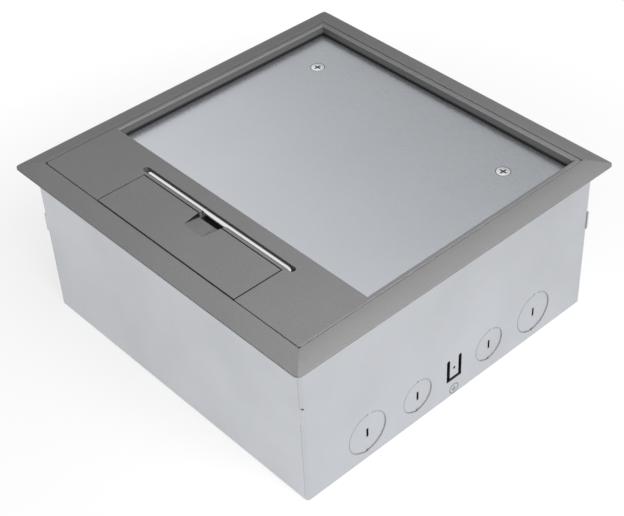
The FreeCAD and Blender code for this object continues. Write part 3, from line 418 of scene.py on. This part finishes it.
def cross_cutter(mesh, place, size, arm, depth):
    """Cross with tapered arms, wider at the top."""
    for along_x in (True, False):
        rows = []
        for share, height in ((CROSS_TIP, -depth), (1.0, 0.0), (CROSS_RIM, CROSS_OVER * depth)):
            a, b = share * size / 2, (0.5 + 0.5 * share) * arm / 2
            if not along_x:
                a, b = b, a
            rows.append([mesh.verts.new(Vector(place) + Vector((x, y, height)))
                         for x, y in ((-a, -b), (a, -b), (a, b), (-a, b))])
        grid_faces(mesh, rows, True)
        mesh.faces.new(rows[0])
        mesh.faces.new(rows[-1])


LID_SHANK = 2.0
LID_PITCH = 0.7
CROSS_SIZE, CROSS_ARM, CROSS_DEPTH = 4.6, 1.0, 1.25


def countersunk_screws():
    """Cross recess countersunk heads on threaded shanks that hold the lid plate."""
    low, high = box_of("lid_screws")
    radius = (high.y - low.y) / 2
    heads = bmesh.new()
    cutters = bmesh.new()
    for x in (low.x + radius, high.x - radius):
        y = (low.y + high.y) / 2
        drop = radius - LID_SHANK
        turned(heads, (x, y, high.z), [(LID_SHANK, -drop), (radius - 0.08, -0.12),
                                       (radius - 0.04, -0.04), (radius - 0.2, 0.0),
                                       (0.3 * radius, 0.0)])
        cross_cutter(cutters, (x, y, high.z), CROSS_SIZE, CROSS_ARM, CROSS_DEPTH)
        threaded(heads, (x, y), LID_SHANK, low.z, high.z - drop, LID_PITCH)
    made = piece("lid_screws_detailed", "lid", heads, looks["lid_screw"],
                 stands_for=("lid_screws",))
    bmesh.ops.recalc_face_normals(cutters, faces=cutters.faces)
    bmesh.ops.scale(cutters, vec=(MM, MM, MM), verts=cutters.verts)
    tool_mesh = bpy.data.meshes.new("cutter")
    # Faces cut by the cross take the second material, painted shade in the recess.
    for face in cutters.faces:
        face.material_index = DARK_SLOT
    cutters.to_mesh(tool_mesh)
    cutters.free()
    made.data.materials.append(recess_shade_and_mark)
    for look in (looks["lid_screw"], recess_shade_and_mark):
        tool_mesh.materials.append(look)
    tool = bpy.data.objects.new("cutter", tool_mesh)
    bpy.context.scene.collection.objects.link(tool)
    carve = made.modifiers.new("recess", "BOOLEAN")
    carve.operation = "DIFFERENCE"
    carve.solver = "EXACT"
    carve.use_self = True
    carve.object = tool
    bpy.context.view_layer.update()
    graph = bpy.context.evaluated_depsgraph_get()
    carved = bpy.data.meshes.new_from_object(made.evaluated_get(graph))
    made.modifiers.clear()
    made.data = carved
    bpy.data.objects.remove(tool)


countersunk_screws()


SEAT_SEGMENTS = 48
SEAT_CLEAR, SEAT_WIDTH = 0.02, 0.36     # dark ring of painted shade, from and to the head's edge
SEAT_BELOW, SEAT_INNER, SEAT_OUTER = -0.04, 0.005, 0.02  # heights, from the top of the head


def screw_seat_shade():
    """Thin dark ring round each lid screw: painted shade at the edge of its countersink."""
    low, high = box_of("lid_screws")
    radius = (high.y - low.y) / 2
    profile = ((radius + SEAT_CLEAR, SEAT_BELOW), (radius + SEAT_WIDTH, SEAT_BELOW),
               (radius + SEAT_WIDTH, SEAT_OUTER), (radius + SEAT_CLEAR, SEAT_INNER))
    mesh = bmesh.new()
    for x in (low.x + radius, high.x - radius):
        y = (low.y + high.y) / 2
        rows = []
        for k in range(SEAT_SEGMENTS + 1):
            angle = 2 * math.pi * k / SEAT_SEGMENTS
            rows.append([mesh.verts.new((x + r * math.cos(angle), y + r * math.sin(angle),
                                         high.z + up)) for r, up in profile])
        grid_faces(mesh, rows, True)
    bmesh.ops.remove_doubles(mesh, verts=mesh.verts, dist=0.0001)
    piece("lid_screw_seat_shade", "lid", mesh, recess_shade_and_mark)


screw_seat_shade()


# ---- lift handle -----------------------------------------------------------------------
def sweep(mesh, path, radius, segments=24, ends=(1.0, 1.0)):
    """Round bar along a path that lies in a plane across Y."""
    rows = []
    for k, spot in enumerate(path):
        before = path[max(0, k - 1)]
        after = path[min(len(path) - 1, k + 1)]
        along = (after - before).normalized()
        side = Vector((0.0, 1.0, 0.0))
        other = along.cross(side)
        share = ends[0] if k == 0 else ends[1] if k == len(path) - 1 else 1.0
        rows.append([mesh.verts.new(spot + share * radius * (
            math.cos(2 * math.pi * i / segments) * side
            + math.sin(2 * math.pi * i / segments) * other)) for i in range(segments)])
    grid_faces(mesh, rows, True)
    mesh.faces.new(rows[0])
    mesh.faces.new(rows[-1])


ROD_BEND = 2.9           # radius of the rod's middle line at its bends
BEND_STEPS = 12
LEG_CHAMFER = 0.5


def lift_rod():
    """The bent rod with round bends and chamfered leg ends."""
    low, high = box_of("lift_handle")
    radius = (high.y - low.y) / 2
    leg_x = high.x - radius
    bar_z = high.z - radius
    middle_y = (low.y + high.y) / 2
    path = [Vector((leg_x, middle_y, low.z)), Vector((leg_x, middle_y, low.z + LEG_CHAMFER))]
    for k in range(BEND_STEPS + 1):
        angle = math.pi / 2 * k / BEND_STEPS
        path.append(Vector((leg_x - ROD_BEND + ROD_BEND * math.cos(angle), middle_y,
                            bar_z - ROD_BEND + ROD_BEND * math.sin(angle))))
    path += [Vector((-p.x, p.y, p.z)) for p in reversed(path)]
    mesh = bmesh.new()
    sweep(mesh, path, radius, segments=32, ends=(0.75, 0.75))
    piece("lift_rod", "handle", mesh, looks["stainless"],
          stands_for=("lift_handle",))


lift_rod()


# ---- marks in the box walls ----------------------------------------------------------------
WALL_X = 102.5            # outside of the knockout walls
STEP = 0.3                # knockout discs are set back by this
KNOCKOUTS = ((61.8, 25.5), (26.6, 20.5), (-26.6, 20.5), (-61.8, 25.5))
KNOCKOUT_Z = 18.3
BRIDGE = 13.0             # degrees left whole beside the top and the bottom
KERF = 0.55
LINE_PROUD = 0.015        # sheared lines stand proud of the wall by this
# Small marks at a disc's top and bottom, by side: place in X, then (radius, height) pairs.
STRUCK_DOTS = {1: (WALL_X - 0.02, [(0.8, 0.0), (0.75, 0.04)]),
               -1: (-WALL_X, [(0.75, -0.04), (0.8, 0.0)])}


def arc_band(mesh, side, y, z, radius, width, start, stop, inner_x, thick):
    """Thin curved band on a wall, between two angles seen from outside."""
    steps = max(2, int(abs(stop - start) / 5))
    rows = []
    for k in range(steps + 1):
        angle = math.radians(start + (stop - start) * k / steps)
        across, up = math.cos(angle) * side, math.sin(angle)
        rows.append([mesh.verts.new((side * x, y + r * across, z + r * up))
                     for r, x in ((radius - width, inner_x), (radius, inner_x),
                                  (radius, inner_x + thick), (radius - width, inner_x + thick))])
    grid_faces(mesh, rows, True)
    mesh.faces.new(rows[0])
    mesh.faces.new(rows[-1])


mesh = bmesh.new()
for side in (-1, 1):
    for y, diameter in KNOCKOUTS:
        radius = diameter / 2
        for start, stop in ((90, 270 - BRIDGE), (-90, 90 - BRIDGE)):
            arc_band(mesh, side, y, KNOCKOUT_Z, radius + 0.05, KERF, start, stop,
                     WALL_X - STEP, STEP + LINE_PROUD)
        dot_x, dot = STRUCK_DOTS[side]
        for height in (-radius, radius):
            turned(mesh, (dot_x, y, KNOCKOUT_Z + height), dot, segments=16, axis="x")
piece("knockout_shear_lines", "box", mesh, shear_mark)

# Earth symbol below the tab: a ring, a stem and three bars.
EARTH_Y, EARTH_Z = 0.2, 4.9
EARTH_RING, EARTH_LINE = 3.3, 0.42
MARK_THICK = 0.03
STEM_HALF, STEM_TOP = 0.18, 2.0
BAR_HALVES, BAR_STEP, BAR_HALF_HEIGHT = (1.6, 1.05, 0.5), 0.65, 0.17
BARS_BELOW = 0.2
mesh = bmesh.new()
arc_band(mesh, 1, EARTH_Y, EARTH_Z, EARTH_RING, EARTH_LINE, 0, 360, WALL_X, MARK_THICK)
slab(mesh, (WALL_X, EARTH_Y - STEM_HALF, EARTH_Z - BARS_BELOW),
     (WALL_X + MARK_THICK, EARTH_Y + STEM_HALF, EARTH_Z + STEM_TOP))
for k, half in enumerate(BAR_HALVES):
    z = EARTH_Z - BARS_BELOW - BAR_STEP * k
    slab(mesh, (WALL_X, EARTH_Y - half, z - BAR_HALF_HEIGHT),
         (WALL_X + MARK_THICK, EARTH_Y + half, z + BAR_HALF_HEIGHT))
piece("earth_mark", "box", mesh, recess_shade_and_mark, smooth=False)

# ---- edge of the frame round the lid ----------------------------------------------------------
OPENING = 98.6            # half the frame's opening
LIP = 0.32                # how far the lip reaches into it
LIP_ROOT = 0.2            # and back into the frame
LIP_TOP = 0.02            # below the frame's top
top_z = box_of("trim_frame")[1].z
mesh = bmesh.new()
for side in (-1, 1):
    near, far = sorted((side * (OPENING - LIP), side * (OPENING + LIP_ROOT)))
    slab(mesh, (near, -OPENING + 1.0, top_z - 0.4), (far, OPENING, top_z - LIP_TOP))
slab(mesh, (-OPENING, OPENING - LIP, top_z - 0.35),
     (OPENING, OPENING + LIP_ROOT, top_z - LIP_TOP))
piece("frame_inner_lip", "box", mesh, looks["frame_plastic"], smooth=False)

# ---- data outlets and terminals ------------------------------------------------------------------
JACK_PLACES = (-60, -20, 20, 60)
JACK_WIRES, WIRE_PITCH, WIRE_RADIUS = 8, 1.02, 0.2
JACK_DEPTH = 12.0
modules_low, modules_high = box_of("jack_modules")
jack_x = (modules_low.x + modules_high.x) / 2
floor_z = modules_high.z - JACK_DEPTH
mesh = bmesh.new()
for y in JACK_PLACES:
    for k in range(JACK_WIRES):
        wire_y = y + (k - (JACK_WIRES - 1) / 2) * WIRE_PITCH
        start = Vector((jack_x - 4.1, wire_y, modules_high.z - 3.0))
        bow = Vector((jack_x - 2.9, wire_y, modules_high.z - 3.4))
        end = Vector((jack_x - 0.6, wire_y, floor_z + 0.4))
        sweep(mesh, [start, bow, end], WIRE_RADIUS, segments=8)
piece("jack_contacts", "box", mesh, looks["brass"])

terminal_low, terminal_high = box_of("terminals")
terminal_z = (terminal_low.z + terminal_high.z) / 2
SLOT_REACH, SLOT_HALF = 1.5, 0.25
mesh = bmesh.new()
for y in (-20, 0, 20):
    turned(mesh, (terminal_low.x - 0.02, y, terminal_z),
           [(1.5, -1.6), (1.7, -1.4), (1.7, 0.02)], segments=24, axis="x")
    slab(mesh, (terminal_low.x - 1.66, y - SLOT_REACH, terminal_z - SLOT_HALF),
         (terminal_low.x - 1.6, y + SLOT_REACH, terminal_z + SLOT_HALF))
piece("terminal_screws", "box", mesh, looks["zinc_screw"])

# ---- spot welds --------------------------------------------------------------------------------------
RAIL_WELDS, RAIL_WELD_IN, RAIL_SHEET = (-72, -36, 36, 72), 6.0, 1.5
PARTITION_WELDS, PARTITION_WELD_X, PARTITION_WELD_Z = (-60, -20, 20, 60), 6.6, 2.4
rails_low, rails_high = box_of("plate_rails")
mesh = bmesh.new()
for side in (-1, 1):
    for x in RAIL_WELDS:
        turned(mesh, (x, side * (rails_high.y - RAIL_WELD_IN), rails_low.z + RAIL_SHEET),
               [(2.4, 0.0), (2.1, 0.05), (1.6, 0.02), (0.6, 0.02)], segments=32)
for y in PARTITION_WELDS:
    turned(mesh, (PARTITION_WELD_X, y, PARTITION_WELD_Z), [(2.2, 0.0), (1.9, 0.05), (1.4, 0.02), (0.5, 0.02)],
           segments=32)
piece("spot_welds", "box", mesh, shear_mark)

# ---- camera, light and stage -----------------------------------------------------
lens = bpy.data.cameras.new("camera")
lens.lens = 82.05
lens.sensor_width = 36.0
lens.shift_x = -0.0953
lens.shift_y = 0.0112
camera = bpy.data.objects.new("camera", lens)
bpy.context.scene.collection.objects.link(camera)
camera.location = Vector((450.66, -388.3, 534.17)) * MM
aim = Vector((39.9, 2.4, 50.0)) * MM - camera.location
roll = Quaternion((0.0, 0.0, 1.0), math.radians(-1.119))
camera.rotation_euler = (aim.to_track_quat("-Z", "Y") @ roll).to_euler()
bpy.context.scene.camera = camera


def area_light(name, place, target, size, watts):
    data = bpy.data.lights.new(name, "AREA")
    data.shape = "DISK"
    data.size = size
    data.energy = watts
    lamp = bpy.data.objects.new(name, data)
    bpy.context.scene.collection.objects.link(lamp)
    lamp.location = Vector(place)
    aim_at = Vector(target) - lamp.location
    lamp.rotation_euler = aim_at.to_track_quat("-Z", "Y").to_euler()
    lamp.visible_glossy = False


area_light("key", (0.5, -0.1, 0.47), (0.02, 0.0, 0.08), 0.5, 5.9)
area_light("fill", (1.0, -0.8, 1.3), (0.0, 0.0, 0.05), 1.4, 7.0)


def seen_or_reflected(tree):
    """1 for camera, glossy and transmission rays, 0 for the rays that light the object."""
    path = tree.nodes.new("ShaderNodeLightPath")
    total = path.outputs["Is Camera Ray"]
    for ray in ("Is Glossy Ray", "Is Transmission Ray"):
        node = tree.nodes.new("ShaderNodeMath")
        node.operation = "MAXIMUM"
        tree.links.new(total, node.inputs[0])
        tree.links.new(path.outputs[ray], node.inputs[1])
        total = node.outputs["Value"]
    return total


# White for the camera, dim for the light, with a soft grey curtain in reflections.
world = bpy.data.worlds.new("studio")
bpy.context.scene.world = world
world.use_nodes = True
tree = world.node_tree
background = tree.nodes["Background"]
shown = tree.nodes.new("ShaderNodeMix")
shown.data_type = "RGBA"
shown.inputs[MIX_FIRST].default_value = (0.11, 0.11, 0.112, 1.0)
direction = tree.nodes.new("ShaderNodeTexCoord")
towards = tree.nodes.new("ShaderNodeVectorMath")
towards.operation = "DOT_PRODUCT"
towards.inputs[1].default_value = (-0.373, 0.924, 0.087)
curtain = tree.nodes.new("ShaderNodeMapRange")
curtain.interpolation_type = "SMOOTHSTEP"
for socket, value in (("From Min", 0.73), ("From Max", 0.83), ("To Min", 1.0), ("To Max", 0.33)):
    curtain.inputs[socket].default_value = value
tree.links.new(direction.outputs["Generated"], towards.inputs[0])
tree.links.new(towards.outputs["Value"], curtain.inputs["Value"])
tree.links.new(curtain.outputs["Result"], shown.inputs[MIX_SECOND])
tree.links.new(seen_or_reflected(tree), shown.inputs[MIX_FACTOR])
to_camera = tree.nodes.new("ShaderNodeMix")
to_camera.data_type = "RGBA"
to_camera.inputs[MIX_SECOND].default_value = (1.0, 1.0, 1.0, 1.0)
tree.links.new(tree.nodes.new("ShaderNodeLightPath").outputs["Is Camera Ray"],
               to_camera.inputs[MIX_FACTOR])
tree.links.new(shown.outputs[MIX_RESULT], to_camera.inputs[MIX_FIRST])
tree.links.new(to_camera.outputs[MIX_RESULT], background.inputs["Color"])

# Pale floor that keeps the object's shadow, whiter farther out, and clear from below.
FLOOR_DROP = 0.0003       # keeps it off the box's underside
bpy.ops.mesh.primitive_plane_add(size=12.0, location=(0.0, 0.0, -FLOOR_DROP))
floor = bpy.context.object
floor.name = "floor"
ground = bpy.data.materials.new("pale_floor")
ground.use_nodes = True
tree = ground.node_tree
paint = tree.nodes["Principled BSDF"]
paint.inputs["Base Color"].default_value = (0.9, 0.9, 0.9, 1.0)
paint.inputs["Roughness"].default_value = 0.9
glow = tree.nodes.new("ShaderNodeEmission")
blend = tree.nodes.new("ShaderNodeMixShader")
share = tree.nodes.new("ShaderNodeMath")
share.operation = "MULTIPLY"
place = tree.nodes.new("ShaderNodeTexCoord")
reach = tree.nodes.new("ShaderNodeVectorMath")
reach.operation = "LENGTH"
whiter = tree.nodes.new("ShaderNodeMapRange")
for socket, value in (("From Min", 0.12), ("From Max", 0.3), ("To Min", 0.72), ("To Max", 1.0)):
    whiter.inputs[socket].default_value = value
tree.links.new(place.outputs["Object"], reach.inputs[0])
tree.links.new(reach.outputs["Value"], whiter.inputs["Value"])
tree.links.new(whiter.outputs["Result"], share.inputs[1])
tree.links.new(seen_or_reflected(tree), share.inputs[0])
tree.links.new(share.outputs["Value"], blend.inputs[0])
tree.links.new(paint.outputs[0], blend.inputs[1])
tree.links.new(glow.outputs[0], blend.inputs[2])
from_below = tree.nodes.new("ShaderNodeMixShader")
tree.links.new(tree.nodes.new("ShaderNodeNewGeometry").outputs["Backfacing"],
               from_below.inputs[0])
tree.links.new(blend.outputs[0], from_below.inputs[1])
tree.links.new(tree.nodes.new("ShaderNodeBsdfTransparent").outputs[0], from_below.inputs[2])
tree.links.new(from_below.outputs[0], tree.nodes["Material Output"].inputs["Surface"])
floor.data.materials.append(ground)

bpy.context.scene.view_settings.view_transform = "Standard"
